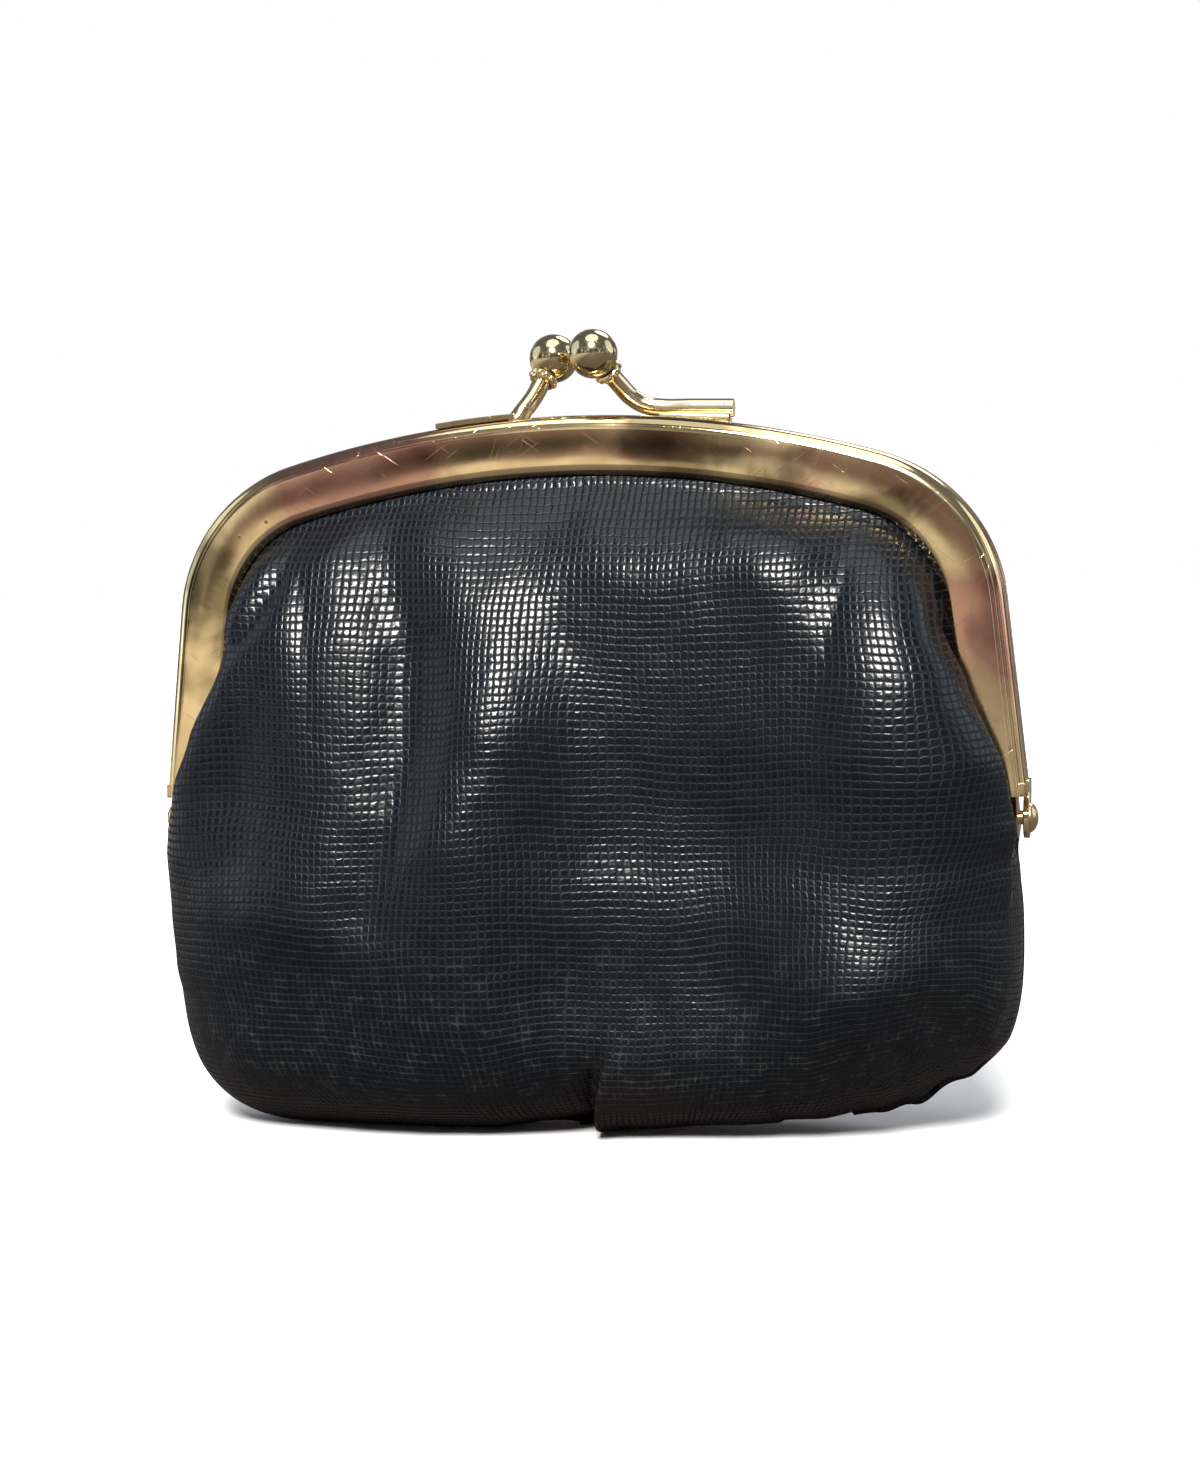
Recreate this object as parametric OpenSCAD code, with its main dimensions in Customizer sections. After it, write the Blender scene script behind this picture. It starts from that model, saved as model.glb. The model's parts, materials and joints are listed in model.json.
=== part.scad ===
// Coin purse with a hinged two-piece metal frame, a ball clasp and a soft leather pouch.
// Millimetres. +Z is up, -Y is the front, and the origin is the middle of the base that it stands on.

/* [Frame] */
// Width across the outside of the arms at the hinge line
frame_w = 101; // [85:0.5:120]
// Height of the crest of the arch above the base
frame_top = 82; // [74:0.5:95]
// Height of the hinge axis above the base
hinge_z = 36; // [33:0.5:40]
// Lean of each arm, inwards from the hinge up
arm_flare = 5.9; // [2:0.1:9]
// Radius of the arch's corners
corner_r = 19; // [14:0.5:24]
// Radius of the long top curve of the arch
crest_r = 122; // [100:1:160]
// Thickness of the sheet metal
sheet = 0.6; // [0.4:0.05:0.8]
// Depth of one half of the frame, front to back
half_depth = 4; // [3.6:0.1:5]
// Width of the polished face of the frame
face_h = 6.7; // [5.5:0.1:8]
// Width of the hidden inner flange of the frame
inner_h = 4.5; // [3.5:0.1:5]
// Gap between the closed halves
half_gap = 0.4; // [0.2:0.05:0.8]

/* [Hinge] */
// Radius of the rivet's shank
rivet_r = 0.8; // [0.6:0.05:1.1]
// Radius of the rivet's domed outer head
rivet_head_r = 1.7; // [1.4:0.05:2]
// Radius of the round hinge lugs
lug_r = 2.3; // [2:0.05:2.5]
// Thickness of a hinge lug
lug_t = 0.7; // [0.5:0.05:0.9]
// Space between the outer and the inner lug
lug_gap = 0.5; // [0.2:0.05:0.8]
// Radial play of the inner lug on the rivet
running_play = 0.05; // [0.02:0.01:0.09]

/* [Clasp] */
// Radius of each ball
ball_r = 2.8; // [2.3:0.05:3.4]
// Sideways play between the balls as they pass each other
ball_play = 0.05; // [0.05:0.05:0.5]
// Height of the balls' centres above the crest
ball_lift = 6.9; // [6:0.1:9]
// How far each ball leans over the other half of the frame
ball_lean = 2.4; // [0.8:0.1:2.6]
// Sideways place of the closed clasp on the crest
clasp_shift = -0.95; // [-4:0.05:4]
// Radius of the rod that carries a ball
stem_r = 1.05; // [0.8:0.05:1.3]
// Distance from the middle of the frame to the end of a rod's foot
foot_reach = 17.2; // [14:0.1:20]
// Length of the foot soldered to the crest
foot_len = 9.3; // [7:0.1:10]
// Thickness of the front rod's foot, which is hammered flat
foot_thick = 0.6; // [0.4:0.05:1]

/* [Pouch] */
// Widest width of the pouch
belly_w = 99.4; // [85:0.5:115]
// Greatest depth of the pouch, front to back
belly_d = 38; // [30:0.5:44]
// Height at which the pouch is widest
belly_z = 24; // [18:0.5:27]
// Width of the flat patch that it stands on
foot_w = 68; // [50:1:80]
// Depth of the flat patch that it stands on
foot_d = 18; // [12:0.5:24]
// Thickness of the leather
leather = 1.1; // [0.8:0.05:1.3]
// Thickness of the lining cloth
lining = 0.3; // [0.2:0.05:0.4]
// Width of the turned seam inside the pouch
seam_w = 2.2; // [1.5:0.1:3]
// Distance from stitch to stitch
stitch_pitch = 3; // [2:0.1:5]

/* [Motion] */
// How far each half of the frame swings open
open_angle = 45; // [30:1:50]

/* [Hidden] */
$fn = 48;

gold = [0.80, 0.66, 0.38];
navy = [0.06, 0.08, 0.12];
cloth = [0.13, 0.11, 0.12];
twine = [0.72, 0.62, 0.45];
thread = [0.10, 0.11, 0.14];

slack = 0.1;                      // room round the leather, cord and lining packed in a channel
half_w = frame_w / 2;
front_y = half_gap / 2 + half_depth;                // distance of the polished face from the middle plane
channel_y = front_y - sheet;                        // inside of the polished face
flange_y = half_gap / 2 + sheet;                    // inside of the inner flange
leather_y = channel_y - slack;                      // outside of the leather in the channel
lining_y = flange_y + slack + lining;               // outside of the lining in the channel
top_inset = sheet + 2 * slack;                      // how far the packed edges stop below the crest

// ---- the arch: two leaning arms, two corner arcs and one long top curve, all tangent ----

arm_up = [-sin(arm_flare), cos(arm_flare)];
arm_out = [cos(arm_flare), sin(arm_flare)];
crest_centre = [0, frame_top - crest_r];
from_crest = [half_w, hinge_z] - corner_r * arm_out - crest_centre;
along = from_crest * arm_up;
arm_len = -along + sqrt(along * along - from_crest * from_crest + pow(crest_r - corner_r, 2));
corner_centre = [half_w, hinge_z] + arm_len * arm_up - corner_r * arm_out;
to_corner = corner_centre - crest_centre;
hand_over = atan2(to_corner[1], to_corner[0]);      // direction in which the corner arc meets the top curve
corner_steps = 12;
crest_steps = 14;

function reverse(list) = [for (i = [len(list) - 1:-1:0]) list[i]];
function mirrored(list) = [for (p = reverse(list)) [-p[0], p[1]]];
function lerp(a, b, t) = a + (b - a) * t;
function on_circle(centre, r, angle) = centre + r * [cos(angle), sin(angle)];
function arm_x(inset, z) = half_w - inset / cos(arm_flare) - (z - hinge_z) * tan(arm_flare);

// Half of the arch, at a distance inside its outer line, from the right arm up to the middle of the top
function half_arch(inset, z_end) = concat(
    [[arm_x(inset, z_end), z_end]],
    [for (i = [0:corner_steps - 1])
        on_circle(corner_centre, corner_r - inset, lerp(arm_flare, hand_over, i / corner_steps))],
    [for (i = [0:crest_steps]) on_circle(crest_centre, crest_r - inset, lerp(hand_over, 90, i / crest_steps))]
);
function arch(inset, z_end) = let (half = half_arch(inset, z_end))
    concat(half, [for (i = [1:len(half) - 1]) mirrored(half)[i]]);
function arch_z(inset, x) =
    abs(x) < (crest_r - inset) * cos(hand_over)
        ? crest_centre[1] + sqrt(pow(crest_r - inset, 2) - x * x)
        : corner_centre[1] + sqrt(max(0, pow(corner_r - inset, 2) - pow(abs(x) - corner_centre[0], 2)));

module band(from_inset, to_inset, z_end) {
    polygon(concat(arch(from_inset, z_end), reverse(arch(to_inset, z_end))));
}

// Stands a flat outline up in the front half, from one distance off the middle plane to another
module stand(near_y, far_y) {
    translate([0, -near_y, 0]) rotate([90, 0, 0]) linear_extrude(far_y - near_y) children();
}

module rear() {
    mirror([0, 1, 0]) children();
}

// ---- frame ----

lug_x = half_w - 0.2;             // outside of the outer lug
inner_lug_x = lug_x - lug_t - lug_gap;
channel_end = hinge_z + lug_r + 0.3;                // the side walls stop here, clear of the round lugs
face_cut = 2.6;                   // how much higher the polished face ends at its inner edge

module channel() {
    difference() {
        stand(half_gap / 2, front_y) band(0, face_h, channel_end);
        stand(flange_y, channel_y) band(sheet, face_h + 1, channel_end - 1);
        stand(0, flange_y + slack) band(inner_h, face_h + 1, channel_end - 1);
        for (side = [-1, 1]) scale([side, 1, 1]) face_end_cut();
    }
}

module face_end_cut() {
    stand(0, front_y + 1) polygon([
        [arm_x(sheet, channel_end), channel_end - 1],
        [arm_x(sheet, channel_end), channel_end + 0.2],
        [arm_x(face_h, channel_end), channel_end + face_cut],
        [arm_x(face_h + 2, channel_end), channel_end + face_cut],
        [arm_x(face_h + 2, channel_end), channel_end - 1]
    ]);
}

// A flat ear across the hinge axis, from its round end up to the side wall of an arm
module lug(outer_x, bore_r) {
    neck_z = channel_end + 1.4;
    difference() {
        union() {
            translate([outer_x - lug_t, 0, hinge_z]) rotate([0, 90, 0]) cylinder(h = lug_t, r = lug_r);
            translate([outer_x - lug_t, 0, 0]) rotate([90, 0, 90]) linear_extrude(lug_t) polygon([
                [-front_y, neck_z],
                [-front_y, channel_end],
                [-lug_r * sin(58), hinge_z - lug_r * cos(58) * 0.9],
                [lug_r * sin(62), hinge_z + lug_r * cos(62) * 0.9],
                [-half_gap / 2, channel_end],
                [-half_gap / 2, neck_z]
            ]);
        }
        translate([outer_x - 2 * lug_t, 0, hinge_z]) rotate([0, 90, 0])
            cylinder(h = 3 * lug_t, r = bore_r);
    }
}

// The step that carries an inner lug inwards from the side wall of its arm
module joggle() {
    translate([inner_lug_x - lug_t, -front_y, channel_end])
        cube([lug_x - inner_lug_x + lug_t - 0.4, half_depth, 1.4]);
}

module front_frame() {
    color(gold) union() {
        channel();
        for (side = [-1, 1]) scale([side, 1, 1]) {
            lug(inner_lug_x, rivet_r + running_play);
            joggle();
        }
    }
}

module rear_frame() {
    color(gold) rear() union() {
        channel();
        for (side = [-1, 1]) scale([side, 1, 1]) lug(lug_x, rivet_r + 0.02);
    }
}

module retaining_cord() {
    color(twine) stand(lining_y + slack, leather_y - leather - slack)
        band(top_inset, top_inset + 1.5, channel_end + 4);
}

module front_retaining_cord() {
    retaining_cord();
}

module rear_retaining_cord() {
    rear() retaining_cord();
}

// ---- hinge rivets ----

module hinge_rivet() {
    dome = 0.9;
    tail = 0.7;
    head_x = lug_x + 0.02;
    tail_x = inner_lug_x - lug_t - 0.05;
    dome_r = (rivet_head_r * rivet_head_r + dome * dome) / (2 * dome);
    dome_angle = asin(rivet_head_r / dome_r);
    dome_line = [for (i = [0:8]) let (a = dome_angle * (1 - i / 8))
        [dome_r * sin(a), head_x + dome - dome_r * (1 - cos(a))]];
    color(gold) rotate([0, 90, 0]) rotate_extrude() polygon(concat(
        [[0, tail_x - tail], [rivet_r + 0.6, tail_x - tail], [rivet_r + 0.6, tail_x], [rivet_r, tail_x]],
        [[rivet_r, head_x]],
        dome_line
    ));
}

module right_hinge_rivet() {
    translate([0, 0, hinge_z]) hinge_rivet();
}

module left_hinge_rivet() {
    translate([0, 0, hinge_z]) rotate([0, 0, 180]) hinge_rivet();
}

// ---- ball clasp: each ball leans over the opposite half of the frame ----

foot_y = half_gap / 2 + half_depth / 2;
ball_x = ball_r + ball_play / 2;                    // each ball's distance from the middle of the clasp
collar_r = stem_r + 0.45;
collar_h = 0.9;
solder = 0.02;                                      // thickness of the joint under a foot
flat_foot_reach = foot_reach - 0.6;
foot_z = frame_top + stem_r - 0.12;                 // height of the rear rod's foot where it leaves the crest

// The front half's rod has its foot on the left and the rear half's on the right. side is -1 or 1.
function ball_at(side) = [clasp_shift + side * ball_x, -side * ball_lean, frame_top + ball_lift];
function crest_point(x, y, lift) = [x, y, crest_centre[1] + sqrt(pow(crest_r + lift, 2) - x * x)];
function unit(v) = v / norm(v);

// Middle line of the rods, from the end of the foot to the last bend
left_rod = [crest_point(flat_foot_reach - foot_len, foot_y, foot_thick / 2)];
right_rod = [
    [foot_reach, foot_y, foot_z - 0.3],
    [foot_reach - foot_len, foot_y, foot_z],
    [foot_reach - foot_len - 2.6, foot_y - 0.5, foot_z + 0.95]
];
function bends(side) = side > 0 ? right_rod : [for (p = left_rod) [-p[0], -p[1], p[2]]];
function last_bend(side) = bends(side)[len(bends(side)) - 1];
function reach(side) = unit(ball_at(side) - last_bend(side));

// Puts a shape made along +Z from the origin at a point, pointing along a direction
module aim(at, direction) {
    turn = [0, acos(direction[2]), atan2(direction[1], direction[0])];
    translate(at) rotate(turn) children();
}

module rod(from, to, r) {
    aim(from, unit(to - from)) cylinder(h = norm(to - from), r = r);
}

// All that lies under the crest, which the feet are filed to fit
module crest_cut() {
    stand(-2 * half_depth, 2 * half_depth) polygon(arch(-solder, channel_end));
}

// The front rod's foot, hammered flat along the crest
module flat_foot() {
    intersection() {
        stand(foot_y - stem_r, foot_y + stem_r) band(-solder - foot_thick, -solder, channel_end);
        translate([-flat_foot_reach, -front_y - 1, frame_top - 5]) cube([foot_len + 1, front_y + 1, 10]);
    }
}

// The solder that fills the wedge between the rear rod's level foot and the curved crest
module solder_bed() {
    hull() {
        rod(right_rod[0], right_rod[1], stem_r * 0.75);
        translate([0, 0, -2]) rod(right_rod[0], right_rod[1], stem_r * 0.6);
    }
}

module clasp_stem(side) {
    sink = 1.3;                                     // how deep the rod's end sits in the ball
    line = bends(side);
    color(gold) union() {
        difference() {
            union() {
                if (len(line) > 1) for (i = [0:len(line) - 2]) rod(line[i], line[i + 1], stem_r);
                for (i = [min(1, len(line) - 1):len(line) - 1])
                    translate(line[i]) sphere(r = stem_r + 0.02);
                rod(last_bend(side), ball_at(side) - (ball_r - sink) * reach(side), stem_r);
                if (side > 0) solder_bed();
            }
            crest_cut();
        }
        if (side < 0) flat_foot();
    }
}

module clasp_collar(side) {
    seat = ball_at(side) - (ball_r + collar_h * 0.72) * reach(side);
    color(gold) difference() {
        aim(seat, reach(side)) cylinder(h = collar_h, r = collar_r);
        aim(seat - reach(side), reach(side)) cylinder(h = collar_h + 4, r = stem_r + 0.02);
        translate(ball_at(side)) sphere(r = ball_r + 0.02);
    }
}

module clasp_ball(side) {
    color(gold) difference() {
        translate(ball_at(side)) sphere(r = ball_r);
        aim(ball_at(side) - (ball_r + 2) * reach(side), reach(side)) cylinder(h = 2 + 1.4, r = stem_r + 0.02);
    }
}

module front_clasp_stem() {
    clasp_stem(-1);
}

module rear_clasp_stem() {
    clasp_stem(1);
}

module front_clasp_collar() {
    clasp_collar(-1);
}

module rear_clasp_collar() {
    clasp_collar(1);
}

module front_clasp_ball() {
    clasp_ball(-1);
}

module rear_clasp_ball() {
    clasp_ball(1);
}

// ---- soft shells: two grids of points, the outside and the inside, closed along their edges ----

module shell(outside, inside) {
    rows = len(outside);
    cols = len(outside[0]);
    count = rows * cols;
    points = [for (layer = [outside, inside]) for (row = layer) for (p = row) p];
    function at(layer, i, j) = layer * count + i * cols + j;
    function quad(a, b, c, d) = [[a, b, c], [a, c, d]];
    faces = [
        for (i = [0:rows - 2]) for (j = [0:cols - 2])
            for (t = quad(at(0, i, j), at(0, i, j + 1), at(0, i + 1, j + 1), at(0, i + 1, j))) t,
        for (i = [0:rows - 2]) for (j = [0:cols - 2])
            for (t = quad(at(1, i, j), at(1, i + 1, j), at(1, i + 1, j + 1), at(1, i, j + 1))) t,
        for (j = [0:cols - 2]) for (t = quad(at(0, 0, j), at(1, 0, j), at(1, 0, j + 1), at(0, 0, j + 1))) t,
        for (j = [0:cols - 2]) for (t = quad(
            at(0, rows - 1, j), at(0, rows - 1, j + 1), at(1, rows - 1, j + 1), at(1, rows - 1, j))) t,
        for (i = [0:rows - 2]) for (t = quad(at(0, i, 0), at(0, i + 1, 0), at(1, i + 1, 0), at(1, i, 0))) t,
        for (i = [0:rows - 2]) for (t = quad(
            at(0, i, cols - 1), at(1, i, cols - 1), at(1, i + 1, cols - 1), at(0, i + 1, cols - 1))) t
    ];
    polyhedron(points = points, faces = faces, convexity = 6);
}

// ---- lower pouch: a soft bowl in two halves, sewn together in the middle plane ----

rim_z = hinge_z - 1.5;
rim_dip = 6;                      // how much lower the rim runs at the hinges
rim_w = belly_w - 0.6;
rim_d = belly_d - 2.6;
seam_y = 0.05;                    // half of the line between the two panels

function swell(foot, belly, rim, z) = z < belly_z
    ? foot + (belly - foot) * sqrt(1 - pow(1 - z / belly_z, 3))
    : belly - (belly - rim) * pow((z - belly_z) / (rim_z - belly_z), 2);
function pouch_a(z) = swell(foot_w, belly_w, rim_w, z) / 2;
function pouch_b(z) = swell(foot_d, belly_d, rim_d, z) / 2;
function round_x(angle) = sign(cos(angle)) * pow(abs(cos(angle)), 2 / 3);

function bowl_row(cols, share, inset_x, inset_y, floor_z) = [for (j = [0:cols - 1]) let (
    angle = 180 * j / (cols - 1),
    rim = rim_z - rim_dip * pow(abs(round_x(angle)), 8),
    z = rim * share,
    up = floor_z + (rim - floor_z) * share
) [(pouch_a(z) - inset_x) * round_x(angle), -seam_y - (pouch_b(z) - inset_y - seam_y) * sin(angle), up]];

function bowl_floor(cols, inset_x, inset_y, floor_z) = [for (j = [0:cols - 1])
    [(pouch_a(0) - inset_x) * 0.97 * round_x(180 * j / (cols - 1)), -seam_y, floor_z]];

function bowl(rows, cols, inset_x, inset_y, floor_z, sag = 0) = concat(
    [for (i = [0:rows - 1]) bowl_row(cols, pow(1 - i / (rows - 1), 1.5), inset_x, inset_y, floor_z)],
    [bowl_floor(cols, inset_x, inset_y, floor_z - sag)]
);

lining_x_in = leather + seam_w + 0.3;               // the lining hangs clear of the turned side seams
lining_y_in = leather + 0.35;
lining_z_in = leather + seam_w + 0.4;
lining_sag = 0.15;                // the lining sags a little along the middle of the floor

module leather_lower() {
    color(navy) union() {
        shell(reverse(bowl(13, 29, 0, 0, 0)), reverse(bowl(13, 29, leather, leather, leather)));
        seam_allowance();
    }
}

// Line of the seam in the middle plane, at a distance inside the outline, from the right side to the left
function seam_line(inset) = let (
    rows = 13,
    top = rim_z - rim_dip,
    shares = [for (i = [1:rows - 1]) pow(1 - i / (rows - 1), 1.5)],
    side = [for (share = shares) [pouch_a(top * share) - inset, inset + (top - inset) * share]]
) concat(side, mirrored(side));

module seam_allowance() {
    stand(seam_y + 0.02, seam_y + leather)
        polygon(concat(seam_line(leather / 2), reverse(seam_line(leather + seam_w))));
}

module lining_lower() {
    color(cloth) shell(
        reverse(bowl(9, 25, lining_x_in, lining_y_in, lining_z_in, lining_sag)),
        reverse(bowl(9, 25, lining_x_in + lining, lining_y_in + lining, lining_z_in + lining, lining_sag))
    );
}

module front_leather_lower() {
    leather_lower();
}

module rear_leather_lower() {
    rear() leather_lower();
}

module front_lining_lower() {
    lining_lower();
}

module rear_lining_lower() {
    rear() lining_lower();
}

// Stitches through both turned edges, evenly spaced along the seam
module seam_stitches() {
    stitch_r = 0.22;
    inset = leather + seam_w / 2;
    side_steps = floor((rim_z - rim_dip - 6) / stitch_pitch);
    base_steps = floor(foot_w / stitch_pitch / 2) - 1;
    color(thread) {
        for (side = [-1, 1]) for (i = [0:side_steps - 1])
            let (z = rim_z - rim_dip - 4 - i * stitch_pitch)
                stitch([side * (seam_x(z) - inset), z], stitch_r);
        for (i = [-base_steps:base_steps]) stitch([i * stitch_pitch, inset], stitch_r);
    }
}

function seam_x(z) = let (top = rim_z - rim_dip - 1.5, inset = leather + seam_w / 2)
    pouch_a((z - inset) * top / (top - inset));

module stitch(at, r) {
    out = seam_y + leather + 0.15;
    translate([at[0], out, at[1]]) rotate([90, 0, 0]) cylinder(h = 2 * out, r = r, $fn = 16);
}

// ---- upper pouch: each panel hangs from its own half of the frame ----

nest_gap = 0.45;                  // room between an upper piece and the lower pouch that it slides into
layer_gap = 0.3;                  // room between the leather and its lining
hang_r = rim_d / 2 - lining_y_in - lining - nest_gap;      // bulge of the panel round the hinge axis
hang_w = belly_w / 2 - 3.7;       // half width at which that bulge dies out
base_half = belly_w / 2 - 6.7;    // half width of the panel at its lower edge
mouth_inset = face_h + 0.2;
lower_edge = hinge_z - 1.2;

function bulge_r(x, inset) = (hang_r - inset) * sqrt(max(0, 1 - pow(abs(x) / (hang_w - inset), 3)));

// Distance from the middle plane of a surface that lies inset under the leather's outside
function hang_y(x, z, inset) = let (
    r = bulge_r(x, inset),
    h = z - hinge_z,
    knee = r * sin(open_angle + 2),
    edge = arch_z(mouth_inset, x) - hinge_z,
    rise = min(1, (h - knee) / (edge - knee)),
    deep = h < knee ? sqrt(max(0, r * r - h * h)) : lerp(r * cos(open_angle + 2), leather_y - inset, rise)
) max(leather_y - inset, deep);

arm_row_end = channel_end + 2.6;
arch_cols = 2 * (corner_steps + crest_steps) + 3;

function panel_row(inset, depth) = [for (p = arch(inset, arm_row_end)) [p[0], -depth, p[1]]];
function panel_point(t, j, inset) = let (
    top = arch(mouth_inset, arm_row_end)[j],
    x_low = base_half * (1 - 2 * j / (arch_cols - 1)),
    p = lerp(top, [x_low, lower_edge], t)
) [p[0], -hang_y(p[0], p[1], inset), p[1]];

function panel(insets, depths, rows, inset) = concat(
    [for (i = [0:len(insets) - 1]) panel_row(insets[i], depths[i])],
    [for (i = [1:rows]) [for (j = [0:arch_cols - 1]) panel_point(i / rows, j, inset)]]
);

module leather_upper() {
    color(navy) shell(
        reverse(panel([top_inset, mouth_inset], [leather_y, leather_y], 8, 0)),
        reverse(panel([top_inset, mouth_inset], [leather_y - leather, leather_y - leather], 8, leather))
    );
}

module lining_upper() {
    in_channel = lining_y;
    at_mouth = leather_y - leather - layer_gap;
    insets = [top_inset, inner_h + 0.3, mouth_inset];
    out = leather + layer_gap;
    color(cloth) shell(
        reverse(panel(insets, [in_channel, in_channel, at_mouth], 8, out)),
        reverse(panel(insets, [in_channel - lining, in_channel - lining, at_mouth - lining], 8, out + lining))
    );
}

module front_leather_upper() {
    leather_upper();
}

module rear_leather_upper() {
    rear() leather_upper();
}

module front_lining_upper() {
    lining_upper();
}

module rear_lining_upper() {
    rear() lining_upper();
}

front_leather_lower();
rear_leather_lower();
front_lining_lower();
rear_lining_lower();
seam_stitches();
front_frame();
front_leather_upper();
front_lining_upper();
front_retaining_cord();
front_clasp_stem();
front_clasp_collar();
front_clasp_ball();
rear_frame();
rear_leather_upper();
rear_lining_upper();
rear_retaining_cord();
rear_clasp_stem();
rear_clasp_collar();
rear_clasp_ball();
left_hinge_rivet();
right_hinge_rivet();
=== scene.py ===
# A coin purse: a soft leather pouch hung from a hinged metal frame in two halves, with a crossed-ball clasp.
# The sections follow the purse as it is put together: frame, hinge, clasp, leather, lining, thread.

import json
import math

import bpy
from mathutils import Matrix, Vector, noise


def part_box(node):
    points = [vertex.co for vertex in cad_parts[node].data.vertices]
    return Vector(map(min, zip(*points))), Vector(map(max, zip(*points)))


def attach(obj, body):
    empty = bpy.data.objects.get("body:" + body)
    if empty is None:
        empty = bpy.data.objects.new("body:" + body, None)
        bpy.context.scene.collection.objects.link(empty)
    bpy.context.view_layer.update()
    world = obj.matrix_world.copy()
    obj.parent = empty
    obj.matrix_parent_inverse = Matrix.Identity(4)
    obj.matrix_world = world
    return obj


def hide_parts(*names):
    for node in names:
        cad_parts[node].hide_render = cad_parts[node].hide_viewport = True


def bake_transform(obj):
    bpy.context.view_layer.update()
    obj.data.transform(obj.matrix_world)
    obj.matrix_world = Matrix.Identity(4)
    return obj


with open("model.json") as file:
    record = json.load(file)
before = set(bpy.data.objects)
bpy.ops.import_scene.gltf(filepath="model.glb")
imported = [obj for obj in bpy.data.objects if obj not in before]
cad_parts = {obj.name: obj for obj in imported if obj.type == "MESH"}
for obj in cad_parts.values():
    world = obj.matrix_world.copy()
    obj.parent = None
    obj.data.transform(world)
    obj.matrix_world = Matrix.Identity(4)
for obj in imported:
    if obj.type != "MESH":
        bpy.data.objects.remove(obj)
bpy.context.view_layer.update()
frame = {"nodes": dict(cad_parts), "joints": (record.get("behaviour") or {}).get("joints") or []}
mm = 0.001


# ---- Camera ----
# It stands to the right of the front and a little above the middle of the purse, a third of a metre away.
# The aim is a touch to the right of the purse's middle line.

view_turn = math.radians(12)
view_rise = math.radians(3)
view_distance = 0.32
view_roll = math.radians(-1.0)
aim_aside = 1.4 * mm
aim_height = 46 * mm
to_camera = Vector((
    math.sin(view_turn) * math.cos(view_rise),
    -math.cos(view_turn) * math.cos(view_rise),
    math.sin(view_rise),
))
aim = Vector((aim_aside * math.cos(view_turn), aim_aside * math.sin(view_turn), aim_height))

camera_lens = bpy.data.cameras.new("camera")
camera_lens.lens = 68.5
camera_lens.sensor_width = 36
camera_lens.clip_start = 0.01
camera = bpy.data.objects.new("camera", camera_lens)
bpy.context.scene.collection.objects.link(camera)
turned_to_purse = to_camera.to_track_quat("Z", "Y").to_matrix() @ Matrix.Rotation(view_roll, 3, "Z")
camera.location = aim + to_camera * view_distance
camera.rotation_euler = turned_to_purse.to_euler()
bpy.context.scene.camera = camera


# ---- Frame halves ----
# Each half is a channel folded from 0.6 mm sheet: a wide polished face, a rounded shoulder and crest, and a
# narrower inner flange. It runs up one arm, round the corner, over the crest and down the other arm.

hinge_z = frame["joints"][0]["pos_m"][2]
crest_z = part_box("front_frame")[1].z
face_depth = -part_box("front_frame")[0].y
arm_half = 50.5 * mm
arm_lean = math.radians(5.9)
corner_radius = 19 * mm
crest_radius = 122 * mm
sheet = 0.6 * mm
face_width = 6.7 * mm
flange_width = 4.5 * mm
parting = 0.2 * mm
arm_end_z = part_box("front_retaining_cord")[0].z - 4 * mm

arm_up = Vector((-math.sin(arm_lean), 0, math.cos(arm_lean)))
arm_outward = Vector((math.cos(arm_lean), 0, math.sin(arm_lean)))
crest_centre = Vector((0, 0, crest_z - crest_radius))
hinge_point = Vector((arm_half, 0, hinge_z))
from_crest = hinge_point - corner_radius * arm_outward - crest_centre
lengthwise = from_crest.dot(arm_up)
arm_length = -lengthwise + math.sqrt(
    lengthwise ** 2 - from_crest.length_squared + (crest_radius - corner_radius) ** 2)
corner_centre = hinge_point + arm_length * arm_up - corner_radius * arm_outward
corner_end = math.atan2((corner_centre - crest_centre).z, (corner_centre - crest_centre).x)


def choose(*pieces):
    """Leaves only these pieces selected, with the first one active."""
    bpy.ops.object.select_all(action="DESELECT")
    for piece in pieces:
        piece.select_set(True)
    bpy.context.view_layer.objects.active = pieces[0]


def begin_edit(piece):
    choose(piece)
    bpy.ops.object.mode_set(mode="EDIT")
    bpy.ops.mesh.select_all(action="SELECT")


def end_edit():
    bpy.ops.object.mode_set(mode="OBJECT")


def settle(piece):
    """Moves the piece's place and size into its mesh."""
    choose(piece)
    bpy.ops.object.transform_apply(location=True, rotation=True, scale=True)


def finish_skin(piece, sharp=35):
    begin_edit(piece)
    bpy.ops.mesh.remove_doubles(threshold=0.000002)
    bpy.ops.mesh.normals_make_consistent(inside=False)
    end_edit()
    choose(piece)
    bpy.ops.object.shade_smooth_by_angle(angle=math.radians(sharp))


def blank(name, corners):
    """A flat sheet blank with these corners."""
    bpy.ops.mesh.primitive_circle_add(vertices=len(corners), radius=mm, fill_type="NGON")
    piece = bpy.context.object
    piece.name = name
    for vertex, corner in zip(piece.data.vertices, corners):
        vertex.co = corner
    piece.data.update()
    return piece


def add_modifier(piece, kind, **settings):
    choose(piece)
    modifier = piece.modifiers.new(kind.lower(), kind)
    for setting, value in settings.items():
        setattr(modifier, setting, value)
    bpy.ops.object.modifier_apply(modifier=modifier.name)


def join(name, *pieces):
    choose(*pieces)
    bpy.ops.object.join()
    pieces[0].name = name
    pieces[0].data.name = name
    return pieces[0]


def arc(centre, radius, start, end, steps):
    """Points on a circle as (inset, depth) pairs."""
    angles = [start + (end - start) * i / steps for i in range(steps + 1)]
    return [(centre[0] + radius * math.cos(a), centre[1] + radius * math.sin(a)) for a in angles]


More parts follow.
